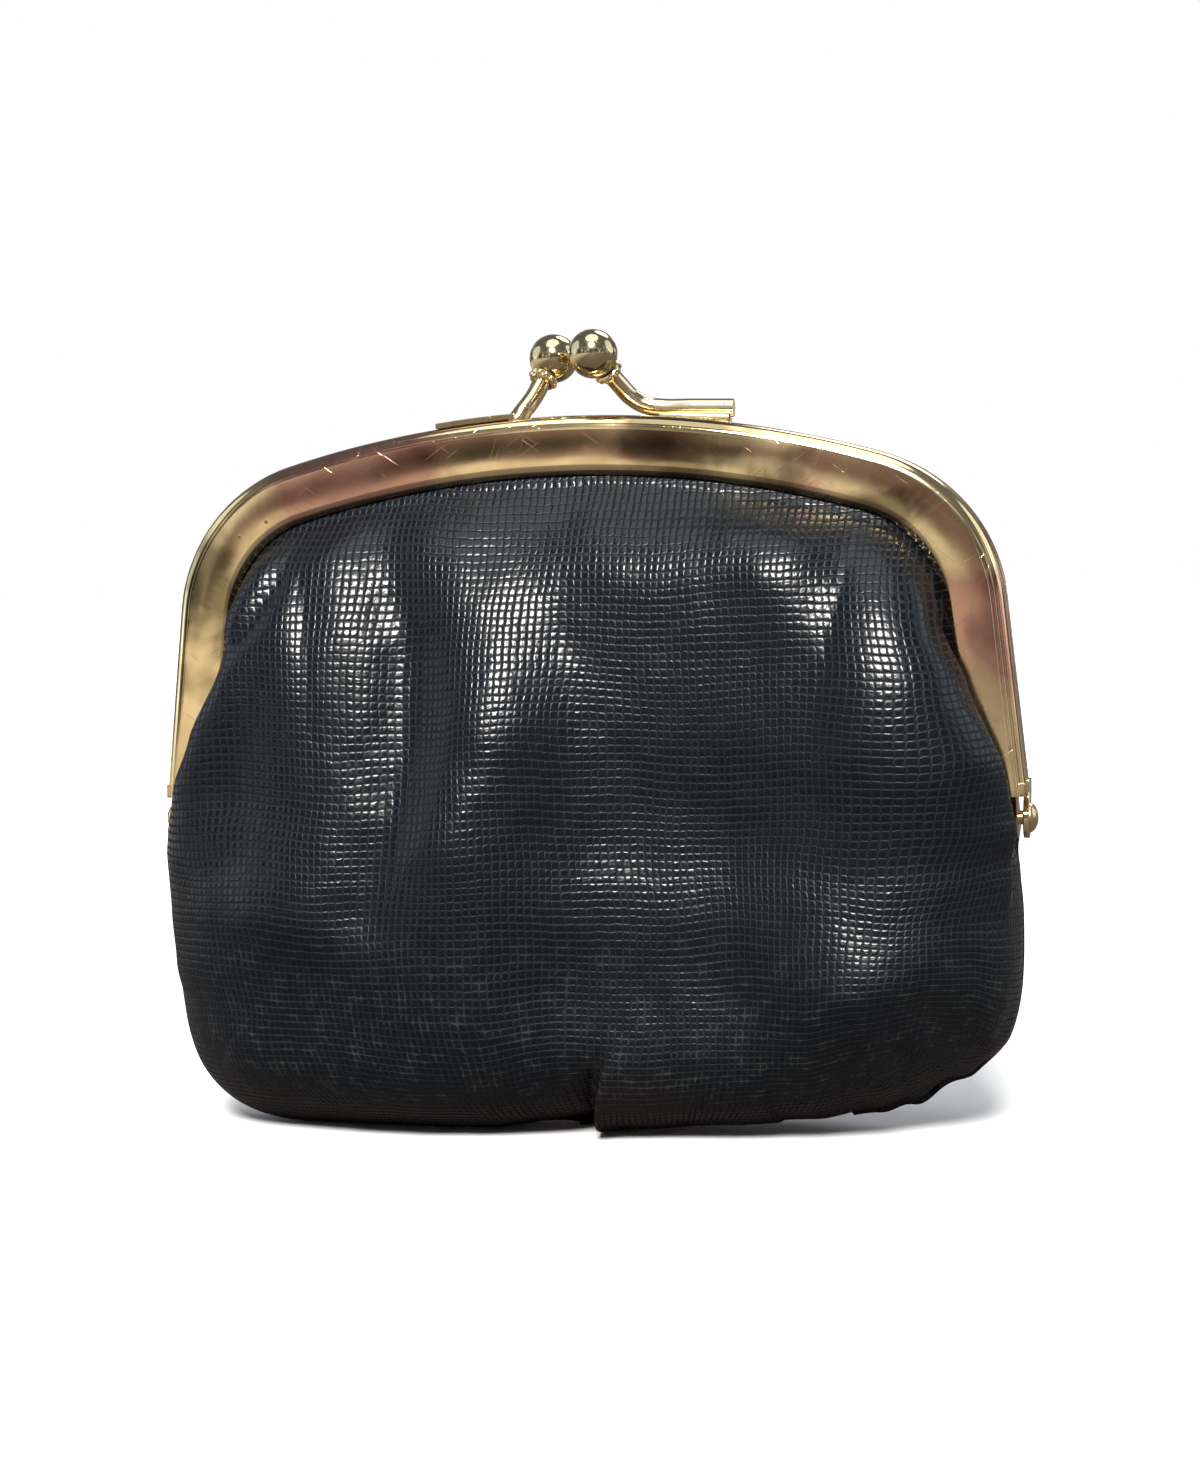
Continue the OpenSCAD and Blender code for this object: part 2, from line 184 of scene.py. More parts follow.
# Outline of the folded sheet: how far each corner lies inside the outer line and from the middle plane.
# The face's inner edge is rolled inwards, to bite on the leather.
crest_fold = 0.7 * mm
shoulder = 1.7 * mm
shoulder_hub = (shoulder, face_depth - shoulder)
lip = 1.3 * mm
lip_hub = (face_width - lip * 0.85, face_depth - lip)
lip_end = math.radians(28)
section = (
    [(flange_width, parting), (crest_fold, parting)]
    + arc((crest_fold, 0.9 * mm), crest_fold, -math.pi / 2, -math.pi, 5)[1:]
    + arc(shoulder_hub, shoulder, math.pi, math.pi / 2, 9)
    + arc(lip_hub, lip, math.pi / 2, lip_end, 7)
    + arc(lip_hub, lip - sheet, lip_end, math.pi / 2, 4)
    + arc(shoulder_hub, shoulder - sheet, math.pi / 2, math.pi, 5)
    + [(sheet, 0.95 * mm), (0.75 * mm, parting + sheet), (flange_width, parting + sheet)]
)


def add_channel(name, side):
    """side is -1 for the front half and 1 for the rear half."""
    start = hinge_point + (arm_end_z - hinge_z - 2 * mm) / math.cos(arm_lean) * arm_up
    channel = blank(name, [
        start - inset * arm_outward + Vector((0, side * depth, 0)) for inset, depth in section])
    arm = corner_centre + corner_radius * arm_outward - start
    begin_edit(channel)
    bpy.ops.mesh.extrude_region_move(TRANSFORM_OT_translate={"value": arm})
    bend = corner_end - arm_lean
    bpy.ops.mesh.spin(steps=18, angle=bend, center=corner_centre, axis=(0, 1, 0))
    bpy.ops.mesh.spin(steps=44, angle=math.pi - 2 * corner_end, center=crest_centre, axis=(0, 1, 0))
    far_corner = Vector((-corner_centre.x, 0, corner_centre.z))
    bpy.ops.mesh.spin(steps=18, angle=bend, center=far_corner, axis=(0, 1, 0))
    bpy.ops.mesh.extrude_region_move(TRANSFORM_OT_translate={"value": (arm.x, 0, -arm.z)})
    end_edit()
    finish_skin(channel)
    return channel


notch_radius = 8.3 * mm
notch_x = 42.2 * mm
notch_drop = 3.2 * mm


def cut_arm_ends(channel):
    """Trims the arms above the hinge and rounds off the face's inner corners."""
    bpy.ops.mesh.primitive_cube_add(size=1, location=(0, 0, arm_end_z - 5 * mm))
    trim = bpy.context.object
    trim.scale = (120 * mm, 30 * mm, 10 * mm)
    settle(trim)
    add_modifier(channel, "BOOLEAN", object=trim, operation="DIFFERENCE", solver="EXACT")
    bpy.data.objects.remove(trim)
    for x in (-1, 1):
        bpy.ops.mesh.primitive_cylinder_add(
            vertices=96, radius=notch_radius, depth=30 * mm,
            location=(x * notch_x, 0, hinge_z - notch_drop), rotation=(math.pi / 2, 0, 0))
        notch = bpy.context.object
        settle(notch)
        add_modifier(channel, "BOOLEAN", object=notch, operation="DIFFERENCE", solver="EXACT")
        bpy.data.objects.remove(notch)


lug_radius = 2.3 * mm
lug_thickness = 0.7 * mm
outer_lug_x = 50.3 * mm
inner_lug_x = outer_lug_x - lug_thickness - 0.5 * mm


def add_lug(name, x, side):
    """A flat ear that narrows from the arm's side wall to a round end on the hinge line."""
    round_end = [
        Vector((x, side * lug_radius * math.sin(a), hinge_z - lug_radius * math.cos(a)))
        for a in [math.radians(-112 + 10 * i) for i in range(20)]]
    neck = [(parting, arm_end_z + 0.2 * mm), (parting, arm_end_z + 1.6 * mm),
            (face_depth - 0.25 * mm, arm_end_z + 1.6 * mm), (face_depth - 0.25 * mm, arm_end_z + 0.1 * mm)]
    lug = blank(name, round_end + [Vector((x, side * depth, z)) for depth, z in reversed(neck)])
    begin_edit(lug)
    bpy.ops.mesh.extrude_region_move(
        TRANSFORM_OT_translate={"value": (-math.copysign(lug_thickness, x), 0, 0)})
    end_edit()
    finish_skin(lug)
    add_modifier(lug, "BEVEL", width=0.12 * mm, segments=3, limit_method="ANGLE", angle_limit=0.6)
    return lug


def add_joggle(x_from, x_to, side):
    """The step that carries the front half's lug inside the rear half's."""
    bpy.ops.mesh.primitive_cube_add(
        size=1, location=((x_from + x_to) / 2, side * face_depth / 2, arm_end_z + 0.8 * mm))
    step = bpy.context.object
    step.scale = (abs(x_to - x_from), face_depth - 0.5 * mm, 1.5 * mm)
    settle(step)
    add_modifier(step, "BEVEL", width=0.2 * mm, segments=3)
    return step


front_channel = add_channel("front_channel", -1)
cut_arm_ends(front_channel)
front_lugs = [add_lug("lug", x * inner_lug_x, -1) for x in (-1, 1)]
joggles = [add_joggle(x * (inner_lug_x - lug_thickness), x * (outer_lug_x - 0.3 * mm), -1) for x in (-1, 1)]
join("front_channel", front_channel, *front_lugs, *joggles)

rear_channel = add_channel("rear_channel", 1)
cut_arm_ends(rear_channel)
rear_lugs = [add_lug("lug", x * outer_lug_x, 1) for x in (-1, 1)]
join("rear_channel", rear_channel, *rear_lugs)


def plug(tree, socket, value):
    """Wires a socket to another node's output, or sets it to a plain value."""
    if isinstance(value, bpy.types.NodeSocket):
        tree.links.new(value, socket)
    else:
        socket.default_value = value


def node(tree, kind, **inputs):
    """Adds a shader node and plugs its inputs; a name that is not an input is one of the node's settings."""
    made = tree.nodes.new("ShaderNode" + kind)
    for name, value in inputs.items():
        if name in made.inputs:
            plug(tree, made.inputs[name], value)
        else:
            setattr(made, name, value)
    return made


def calculate(tree, operation, *values):
    made = tree.nodes.new("ShaderNodeMath")
    made.operation = operation
    for socket, value in zip(made.inputs, values):
        plug(tree, socket, value)
    return made.outputs[0]


def times(tree, first, second):
    return calculate(tree, "MULTIPLY", first, second)


def spread(tree, value, low, high, to_low=0.0, to_high=1.0):
    """Maps low..high onto to_low..to_high, held at the ends."""
    made = tree.nodes.new("ShaderNodeMapRange")
    tree.links.new(value, made.inputs["Value"])
    for name, number in (("From Min", low), ("From Max", high), ("To Min", to_low), ("To Max", to_high)):
        made.inputs[name].default_value = number
    return made.outputs["Result"]


def mix_colour(tree, factor, first, second):
    made = tree.nodes.new("ShaderNodeMix")
    made.data_type = "RGBA"
    for socket, value in ((made.inputs[0], factor), (made.inputs[6], first), (made.inputs[7], second)):
        plug(tree, socket, value)
    return made.outputs[2]


def new_finish(name):
    finish = bpy.data.materials.new(name)
    finish.use_nodes = True
    tree = finish.node_tree
    shader = tree.nodes["Principled BSDF"]
    return finish, tree, shader


def wear(piece, finish):
    piece.data.materials.clear()
    piece.data.materials.append(finish)


def make_gold(name, bright, dull, polish):
    """Pale gold plate on brass: polished, with hairline scratches three ways, small pits and slight waves."""
    finish, tree, shader = new_finish(name)
    place = tree.nodes.new("ShaderNodeTexCoord").outputs["Object"]

    scratches = None
    for turn, stretch, sharpness in ((0.6, 0.9, 0.755), (1.25, 0.7, 0.765), (2.5, 1.1, 0.76)):
        turned = node(tree, "Mapping", Vector=place)
        turned.inputs["Rotation"].default_value = (0, turn, 0)
        drawn = node(tree, "Mapping", Vector=turned.outputs[0])
        drawn.inputs["Scale"].default_value = (stretch * 150, 300, 9000)
        hairs = node(tree, "TexNoise", Vector=drawn.outputs[0], Scale=1.0, Detail=1.0)
        line = spread(tree, hairs.outputs[0], sharpness - 0.02, sharpness)
        scratches = line if scratches is None else calculate(tree, "MAXIMUM", scratches, line)

    pits = node(tree, "TexVoronoi", Vector=place, Scale=420.0)
    pit = spread(tree, pits.outputs["Distance"], 0.05, 0.11, 1.0, 0.0)
    sparse = node(tree, "TexNoise", Vector=place, Scale=90.0, Detail=2.0)
    pit = times(tree, pit, spread(tree, sparse.outputs[0], 0.55, 0.6))
    cloud = node(tree, "TexNoise", Vector=place, Scale=55.0, Detail=4.0, Roughness=0.6)
    grime = node(tree, "TexNoise", Vector=place, Scale=600.0, Detail=3.0)
    wave = node(tree, "TexNoise", Vector=place, Scale=75.0, Detail=1.0)

    scratches = times(tree, scratches, spread(tree, sparse.outputs[0], 0.4, 0.6, 0.15, 1.0))
    marked = calculate(tree, "MAXIMUM", scratches, pit)
    tone = mix_colour(tree, spread(tree, cloud.outputs[0], 0.38, 0.66), bright, dull)
    streak = node(tree, "TexNoise", Vector=place, Scale=140.0, Detail=3.0)
    ragged = calculate(tree, "SUBTRACT", streak.outputs[0], 0.5)
    # Rosy and olive patches from the points' values: worn plate, and painted reflections of the surroundings.
    for mark, colour, low in (("rosy", (0.50, 0.27, 0.20, 1), 0.25), ("olive_wear_and_reflection", (0.20, 0.16, 0.08, 1), 0.35)):
        amount = node(tree, "Attribute", attribute_name=mark).outputs["Fac"]
        uneven = calculate(tree, "MULTIPLY_ADD", ragged, 1.3, amount)
        shown = spread(tree, uneven, low, low + 0.3)
        shown = times(tree, shown, spread(tree, amount, 0.05, 0.3))
        tone = mix_colour(tree, times(tree, shown, 0.85), tone, colour)
    tone = mix_colour(tree, times(tree, pit, 0.75), tone, (0.10, 0.06, 0.03, 1))
    tree.links.new(tone, shader.inputs["Base Color"])
    haze = spread(tree, cloud.outputs[0], 0.35, 0.7, polish, polish + 0.09)
    haze = calculate(tree, "ADD", haze, times(tree, scratches, 0.14))
    tree.links.new(haze, shader.inputs["Roughness"])
    shader.inputs["Metallic"].default_value = 1.0

    waved = node(tree, "Bump", Height=wave.outputs[0], Distance=0.00016, Strength=1.0)
    gritty = node(tree, "Bump", Height=grime.outputs[0], Distance=0.0000022, Strength=1.0)
    tree.links.new(waved.outputs[0], gritty.inputs["Normal"])
    scored = node(tree, "Bump", Height=marked, Distance=0.000004, Strength=1.0)
    scored.invert = True
    tree.links.new(gritty.outputs[0], scored.inputs["Normal"])
    tree.links.new(scored.outputs[0], shader.inputs["Normal"])
    return finish


# Where the plate is rubbed through to rosy copper and worn to olive. The same patches also carry painted
# reflections of rosy and dark surroundings. Place and reach in millimetres, and strength
rosy_wear_and_reflection_places = [((-26, 74), (13, 9), 0.8), ((45, 59), (6, 6), 0.9), ((25, 73), (6, 2), 0.5)]
olive_wear_and_reflection_places = [
    ((12, 80), (10, 9), 0.9), ((-44, 62), (3.5, 9), 0.8), ((46.5, 46), (6, 9), 0.95),
    ((34, 71), (6, 2.6), 0.9), ((24, 76), (3, 3), 0.6)]


def patch_strength(x, z, places):
    return min(1, sum(
        amount * math.exp(-((x - px) / rx) ** 2 - ((z - pz) / rz) ** 2)
        for (px, pz), (rx, rz), amount in places))


def mark_plate_wear_and_reflections(channel):
    """Marks the plate's worn patches, which also carry painted reflections, as values at the channel's
    points; the rear half has them mirrored.
    """
    rosy = channel.data.attributes.new("rosy", "FLOAT", "POINT")
    olive_wear_and_reflection = channel.data.attributes.new("olive_wear_and_reflection", "FLOAT", "POINT")
    for i, vertex in enumerate(channel.data.vertices):
        x, z = vertex.co.x / mm, vertex.co.z / mm
        turned = -1 if vertex.co.y > 0 else 1
        rosy.data[i].value = patch_strength(x * turned, z, rosy_wear_and_reflection_places)
        olive_wear_and_reflection.data[i].value = patch_strength(x * turned, z, olive_wear_and_reflection_places)


gold_sheet = make_gold("polished_gold_sheet", (0.88, 0.69, 0.38, 1), (0.72, 0.55, 0.31, 1), 0.07)
for channel, half in ((front_channel, "front"), (rear_channel, "rear")):
    mark_plate_wear_and_reflections(channel)
    wear(channel, gold_sheet)
    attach(channel, half + "_half")
    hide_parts(half + "_frame")


# ---- Hinge rivets ----
# One rivet at each end of the hinge line, turned from brass: a domed head outside the lugs, a plain shank
# through both of them and a spread tail inside.


def turn_on_lathe(name, profile, at, along, steps=48):
    """Spins a profile of (radius, height) points round the direction along, starting at a point."""
    sideways = along.orthogonal().normalized()
    piece = blank(name, [at + r * sideways + h * along for r, h in profile])
    begin_edit(piece)
    bpy.ops.mesh.delete(type="ONLY_FACE")
    bpy.ops.mesh.select_all(action="SELECT")
    bpy.ops.mesh.spin(steps=steps, angle=math.tau, center=at, axis=along)
    end_edit()
    finish_skin(piece, 40)
    return piece


# Radius and height in millimetres, from the top of the dome to the end of the tail
head_profile = [
    (0.0, 0.95), (0.45, 0.92), (0.9, 0.8), (1.3, 0.58), (1.55, 0.33), (1.68, 0.12), (1.68, 0.02)]
tail_profile = [
    (0.8, 0.02), (0.8, -1.98), (1.3, -2.0), (1.38, -2.15), (1.3, -2.45), (0.9, -2.62), (0.0, -2.66)]
rivet_finish = make_gold("worn_brass_rivet", (0.80, 0.60, 0.34, 1), (0.55, 0.38, 0.20, 1), 0.2)
for side, hinge in ((-1, "left"), (1, "right")):
    rivet = turn_on_lathe(
        hinge + "_rivet",
        [(r * mm, h * mm) for r, h in head_profile + tail_profile],
        Vector((side * outer_lug_x, 0, hinge_z)), Vector((side, 0, 0)))
    wear(rivet, rivet_finish)
    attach(rivet, "pouch")
    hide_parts(hinge + "_hinge_rivet")


# ---- Clasp ----
# Two bent rods soldered to the crest, each with a hollow ball pressed on its tip over a small beaded collar.
# The front rod's foot is hammered flat; each ball leans over the other half, so they snap past each other.

rod_radius = 1.05 * mm


def ball_centre(node_name):
    low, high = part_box(node_name)
    return (low + high) / 2


def bend_rod(name, knots):
    """A round rod through these points, with smooth bends."""
    bpy.ops.curve.primitive_bezier_curve_add()
    rod = bpy.context.object
    rod.name = name
    settle(rod)
    line = rod.data.splines[0]
    line.bezier_points.add(len(knots) - 2)
    for point, knot in zip(line.bezier_points, knots):
        point.co = knot
        point.handle_left_type = point.handle_right_type = "AUTO"
    rod.data.dimensions = "3D"
    rod.data.bevel_depth = rod_radius
    rod.data.bevel_resolution = 6
    rod.data.resolution_u = 14
    rod.data.use_fill_caps = True
    choose(rod)
    bpy.ops.object.convert(target="MESH")
    finish_skin(rod, 50)
    return rod


def crest_height(x, lift):
    """Height of a line this far above the frame's crest."""
    return crest_centre.z + math.sqrt((crest_radius + lift) ** 2 - x * x)


front_ball_at = ball_centre("front_clasp_ball")
rear_ball_at = ball_centre("rear_clasp_ball")
ball_radius = (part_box("front_clasp_ball")[1].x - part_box("front_clasp_ball")[0].x) / 2
foot_y = (parting + face_depth) / 2

front_knots = [
    Vector((x * mm, -foot_y, crest_height(x * mm, h * mm))) for x, h in ((-7.8, -0.9), (-7.1, 0.0))]
front_knots.append(front_knots[1].lerp(front_ball_at, 0.42) + Vector((0.25 * mm, 0, -0.2 * mm)))
front_knots.append(front_knots[1].lerp(front_ball_at, 0.8))
front_rod = bend_rod("front_rod", front_knots)

flat_foot_x = 11.9 * mm
bpy.ops.mesh.primitive_cube_add(
    size=1, location=(-flat_foot_x, -foot_y, crest_height(flat_foot_x, 0.32 * mm)))
flat_foot = bpy.context.object
flat_foot.name = "flat_foot"
flat_foot.scale = (9.3 * mm, 2 * rod_radius, 0.6 * mm)
settle(flat_foot)
begin_edit(flat_foot)
bpy.ops.mesh.subdivide(number_cuts=7)
end_edit()
for vertex in flat_foot.data.vertices:
    vertex.co.z += crest_height(vertex.co.x, 0) - crest_height(flat_foot_x, 0)
add_modifier(flat_foot, "BEVEL", width=0.16 * mm, segments=3, limit_method="ANGLE", angle_limit=0.8)
join("front_rod", front_rod, flat_foot)

foot_z = crest_z + rod_radius - 0.12 * mm
solder_x = 12.7 * mm
solder_tilt = 0.065
rear_knots = [Vector((x * mm, foot_y - aside * mm, foot_z + rise * mm)) for x, aside, rise in (
    (17.2, 0, -0.3), (12.5, 0, -0.15), (8.8, 0, -0.03), (7.2, 0.1, 0.25), (5.5, 0.5, 1.2), (4.3, 1.4, 2.6))]
rear_knots.append(rear_knots[-1].lerp(rear_ball_at, 0.6))
rear_rod = bend_rod("rear_rod", rear_knots)

bpy.ops.mesh.primitive_cylinder_add(
    vertices=32, radius=0.55 * mm, depth=8.4 * mm,
    location=(solder_x, foot_y, crest_height(solder_x, 0.35 * mm)),
    rotation=(0, math.pi / 2 + solder_tilt, 0))
solder = bpy.context.object
solder.name = "solder"
solder.scale = (1.5, 1.5, 1)
settle(solder)
add_modifier(solder, "BEVEL", width=0.2 * mm, segments=2, limit_method="ANGLE", angle_limit=0.8)
join("rear_rod", rear_rod, solder)


def add_ball(name, centre, towards_rod):
    """A ball of two pressed shells: a fine seam round its middle and a flattened seat over the collar."""
    half_steps = 16
    seam_groove = 0.035 * mm
    seat_height = -ball_radius * 0.955
    profile = []
    for i in range(2 * half_steps + 1):
        angle = math.pi * i / (2 * half_steps)
        radius = ball_radius - (seam_groove if i == half_steps else 0)
        height = radius * math.cos(angle)
        profile.append((radius * math.sin(angle), max(height, seat_height)))
    profile[0] = (0.0, profile[0][1])
    profile[-1] = (0.0, profile[-1][1])
    return turn_on_lathe(name, profile, centre, -towards_rod, steps=56)


def add_collar(name, centre, towards_rod):
    """A crimped ring with a row of beads, between the ball and the rod."""
    seat = centre + towards_rod * (ball_radius * 0.93)
    profile = [
        (1.0, -0.1), (1.5, -0.05), (1.66, 0.15), (1.55, 0.38), (1.42, 0.5), (1.5, 0.72), (1.36, 0.95),
        (1.06, 1.05)]
    ring = turn_on_lathe(name, [(r * mm, h * mm) for r, h in profile], seat, towards_rod)
    sideways = towards_rod.orthogonal().normalized()
    bead_count = 11
    beads = []
    for i in range(bead_count):
        out = Matrix.Rotation(math.tau * i / bead_count, 3, towards_rod) @ sideways
        bpy.ops.mesh.primitive_uv_sphere_add(
            segments=14, ring_count=9, radius=0.36 * mm,
            location=seat + 1.42 * mm * out + 0.42 * mm * towards_rod)
        bead = bpy.context.object
        settle(bead)
        choose(bead)
        bpy.ops.object.shade_smooth()
        beads.append(bead)
    return join(name, ring, *beads)


gold_wire = make_gold("gold_wire", (0.80, 0.67, 0.42, 1), (0.66, 0.53, 0.32, 1), 0.12)
gold_ball = make_gold("gold_ball", (0.66, 0.56, 0.33, 1), (0.48, 0.40, 0.23, 1), 0.08)
for half, rod, centre, knots in (
        ("front", front_rod, front_ball_at, front_knots), ("rear", rear_rod, rear_ball_at, rear_knots)):
    towards_rod = (knots[-2] - centre).normalized()
    ball = add_ball(half + "_ball", centre, towards_rod)
    collar = add_collar(half + "_collar", centre, towards_rod)
    for piece, part, finish in (
            (rod, "stem", gold_wire), (ball, "ball", gold_ball), (collar, "collar", gold_wire)):
        wear(piece, finish)
        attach(piece, half + "_half")
        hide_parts(half + "_clasp_" + part)


# ---- Leather panels ----
# Two panels of glossy crosshatched leather, sewn face to face round the sides and bottom and turned out.
# Their tops are gathered into the frame's channels, which makes the long soft folds. Each is lofted from the
# channel to the bottom seam and then shaped.

leather = 1.1 * mm
channel_room = 0.1 * mm
leather_depth = face_depth - sheet - channel_room
mouth_inset = face_width + 0.2 * mm
belly_half = 49.6 * mm
belly_depth = 18.9 * mm
belly_z = 24 * mm
foot_half = 34 * mm
join_z = 30 * mm
# Shares of the way down a panel: where it leaves the channel, and where the hanging part meets the pouch
channel_down = 0.06
join_down = 0.52
arch_end_z = arm_end_z + 1.2 * mm


def blend_in(value, start, end):
    """0 at start, 1 at end, smooth between."""
    t = min(1, max(0, (value - start) / (end - start)))
    return t * t * (3 - 2 * t)


def arch_place(inset, share, end_z):
    """A point of the arch, inset from its outer line, at a share of its length from the right arm's end."""
    arm = (arm_length - (end_z - hinge_z) / math.cos(arm_lean))
    corner = (corner_radius - inset) * (corner_end - arm_lean)
    crest = (crest_radius - inset) * (math.pi / 2 - corner_end)
    total = arm + corner + crest
    mirror = 1 if share <= 0.5 else -1
    run = min(share, 1 - share) * 2 * total
    if run < arm:
        place = hinge_point - inset * arm_outward + (arm_length - arm + run) * arm_up
        inward = -arm_outward
    elif run < arm + corner:
        angle = arm_lean + (run - arm) / (corner_radius - inset)
        inward = -Vector((math.cos(angle), 0, math.sin(angle)))
        place = corner_centre - (corner_radius - inset) * inward
    else:
        angle = corner_end + (run - arm - corner) / (crest_radius - inset)
        inward = -Vector((math.cos(angle), 0, math.sin(angle)))
        place = crest_centre - (crest_radius - inset) * inward
    return Vector((mirror * place.x, 0, place.z)), Vector((mirror * inward.x, 0, inward.z))


def swell(foot, belly, z):
    """Half width of the pouch at a height."""
    if z < belly_z:
        return foot + (belly - foot) * math.sqrt(max(0, 1 - (1 - z / belly_z) ** 3))
    return belly - (belly * 0.05) * ((z - belly_z) / (14 * mm)) ** 2


def keel(z):
    """Depth of the pouch at a height: the panels swell from the bottom seam like the sides of a boat."""
    if z < belly_z:
        return belly_depth * math.sqrt(max(0, 1 - (1 - z / belly_z) ** 2.5))
    return belly_depth * (1 - 0.23 * ((z - belly_z) / (14 * mm)) ** 2)


def along(places, x):
    """Reads a value from (place, value) pairs, smooth between them and held at the ends."""
    for (x1, v1), (x2, v2) in zip(places, places[1:]):
        if x < x2:
            return v1 + (v2 - v1) * blend_in(x, x1, x2)
    return places[-1][1]


def across_pouch(angle):
    """1 at the right seam, 0 in the middle and -1 at the left seam."""
    return math.copysign(abs(math.cos(angle)) ** (2 / 3), math.cos(angle))


# Angles round the pouch and the run of leather to each, from the right seam to the left
girth_steps = 400
girth_angles = []
girth_runs = [0.0]
for i in range(girth_steps + 1):
    angle = math.pi * i / girth_steps
    girth_angles.append(angle)
    if i:
        step = [(belly_half * across_pouch(a), belly_depth * math.sin(a)) for a in girth_angles[-2:]]
        girth_runs.append(girth_runs[-1] + math.dist(*step))


def girth_angle(share):
    """The angle at a share of the girth."""
    run = share * girth_runs[-1]
    low, high = 0, girth_steps
    while high - low > 1:
        middle = (low + high) // 2
        if girth_runs[middle] <= run:
            low = middle
        else:
            high = middle
    part = (run - girth_runs[low]) / (girth_runs[high] - girth_runs[low])
    return girth_angles[low] + part * (girth_angles[high] - girth_angles[low])


def pouch_place(share, z, under):
    """A point on the lower pouch's front, at a share of the girth and a height."""
    angle = girth_angle(share)
    x = (swell(foot_half, belly_half, z) - under) * across_pouch(angle)
    y = max(0, keel(z) - under) * math.sin(angle)
    return Vector((x, -y, z + under * (1 - z / join_z)))


def panel_place(share, down, under=0.0):
    """The unshaped panel: in the channel, then hanging, then round the belly down to the bottom seam."""
    mouth_line = mouth_inset + under * 1.2
    if down < channel_down:
        inset = 1 * mm + (mouth_line - 1 * mm) * down / channel_down
        place = arch_place(inset, share, arch_end_z)[0]
        place.y = -(leather_depth - under)
        return place
    if down < join_down:
        t = (down - channel_down) / (join_down - channel_down)
        mouth, inward = arch_place(mouth_line, share, arch_end_z)
        mouth.y = -(leather_depth - under)
        waist = pouch_place(share, join_z, under)
        reach = (waist - mouth).length
        arm_share = abs(inward.x)
        corner_ease = blend_in(min(share, 1 - share), 0.0, 0.07)
        outward = Vector((0, -1, 0))
        arm_ease = arm_share * corner_ease
        leave = inward * (0.85 - 0.6 * arm_ease) + outward * (0.5 + 0.8 * arm_ease)
        leave = leave * reach * (0.35 + 0.65 * corner_ease)
        leave.z -= reach * 0.5 * (1 - corner_ease)
        arrive = Vector((0, -0.27 * corner_ease, -1)) * reach * (1.1 - 0.2 * arm_share)
        h00, h10 = 2 * t ** 3 - 3 * t ** 2 + 1, t ** 3 - 2 * t ** 2 + t
        h01, h11 = -2 * t ** 3 + 3 * t ** 2, t ** 3 - t ** 2
        return h00 * mouth + h10 * leave + h01 * waist + h11 * arrive
    t = (down - join_down) / (1 - join_down)
    belly_at = 0.16
    if t < belly_at:
        return pouch_place(share, join_z - (join_z - belly_z) * t / belly_at, under)
    turned = math.sin((t - belly_at) / (1 - belly_at) * math.pi / 2)
    return pouch_place(share, belly_z * (1 - turned ** 0.8), under)


def distance_to_line(x, z, line):
    """The square of the distance to the nearest point of a jointed line."""
    best = 1e9
    for (ax, az), (bx, bz) in zip(line, line[1:]):
        dx, dz = bx - ax, bz - az
        t = max(0, min(1, ((x - ax) * dx + (z - az) * dz) / (dx * dx + dz * dz)))
        best = min(best, (x - ax - t * dx) ** 2 + (z - az - t * dz) ** 2)
    return best


# Folds in millimetres: the line that each follows seen from outside, its half width, and its rise or depth
front_folds = [
    ([(-35, 66), (-39, 57), (-42, 48), (-44, 40), (-45, 33)], 3.4, 1.4),
    ([(-32, 70), (-34, 63), (-38.5, 56.5), (-41.5, 53)], 1.7, -1.3),
    ([(-36, 62), (-36.5, 50), (-38, 40)], 3.4, -1.1),
    ([(-30, 67), (-28, 58), (-27, 48), (-28, 38), (-32, 27)], 6.2, 1.6),
    ([(-22, 69), (-18, 57), (-17, 46), (-18.5, 36), (-22, 27)], 3.6, -1.3),
    ([(-24, 71), (-17, 67), (-11, 60), (-8, 52), (-8, 44), (-12, 35)], 7.2, 1.7),
    ([(3, 66), (21, 65)], 7.0, 1.8),
    ([(9, 33), (16, 32)], 12.5, -4.8),
    ([(3, 17), (17, 17)], 10.0, -4.0),
    ([(-9, 46), (-11, 37)], 8.0, 1.3),
    ([(24, 69), (29, 61), (33, 52), (36, 42)], 8.0, 1.7),
    ([(35, 46), (38, 34)], 8.0, 1.8),
    ([(40, 66), (41.5, 58), (43, 52)], 1.8, -1.2),
    ([(38.5, 19), (33, 17)], 7.5, 2.8),
    ([(42, 20), (38, 13)], 3.6, -0.8),
    ([(-38, 20), (-22, 15)], 6.5, -0.6),
    ([(-36, 8), (-18, 5)], 4.5, 0.9),
]
rear_folds = [
    ([(36, 66), (40, 56), (43, 46), (45, 36)], 3.8, 1.3),
    ([(30, 66), (31, 54), (30, 44)], 4.0, -2.0),
    ([(24, 70), (20, 58), (19, 46), (22, 34)], 4.3, 2.4),
    ([(12, 70), (9, 58), (4, 46)], 5.0, -2.0),
    ([(0, 72), (-4, 60), (-3, 46), (2, 32)], 4.5, 2.4),
    ([(-18, 44), (-8, 38)], 8.5, -2.6),
    ([(-24, 71), (-30, 58), (-34, 46)], 4.6, 2.4),
    ([(-40, 62), (-42, 52)], 2.0, -1.2),
    ([(-20, 20), (4, 17)], 7.0, 0.9),
    ([(30, 30), (35, 20)], 4.5, -1.0),
]

# How far the panel swells sideways over the frame's arms at each height, on the left and on the right
left_swell = [(14, 0), (20, 0.9), (31, 1.8), (37, 2.2), (41, 2.6), (46, 2.2), (52, 1.0), (58, 0.2), (62, 0)]
right_swell = [(25, 0.3), (31, 1.6), (36, 2.9), (43, 3.9), (51, 2.4), (59, 0.5), (64, 0)]
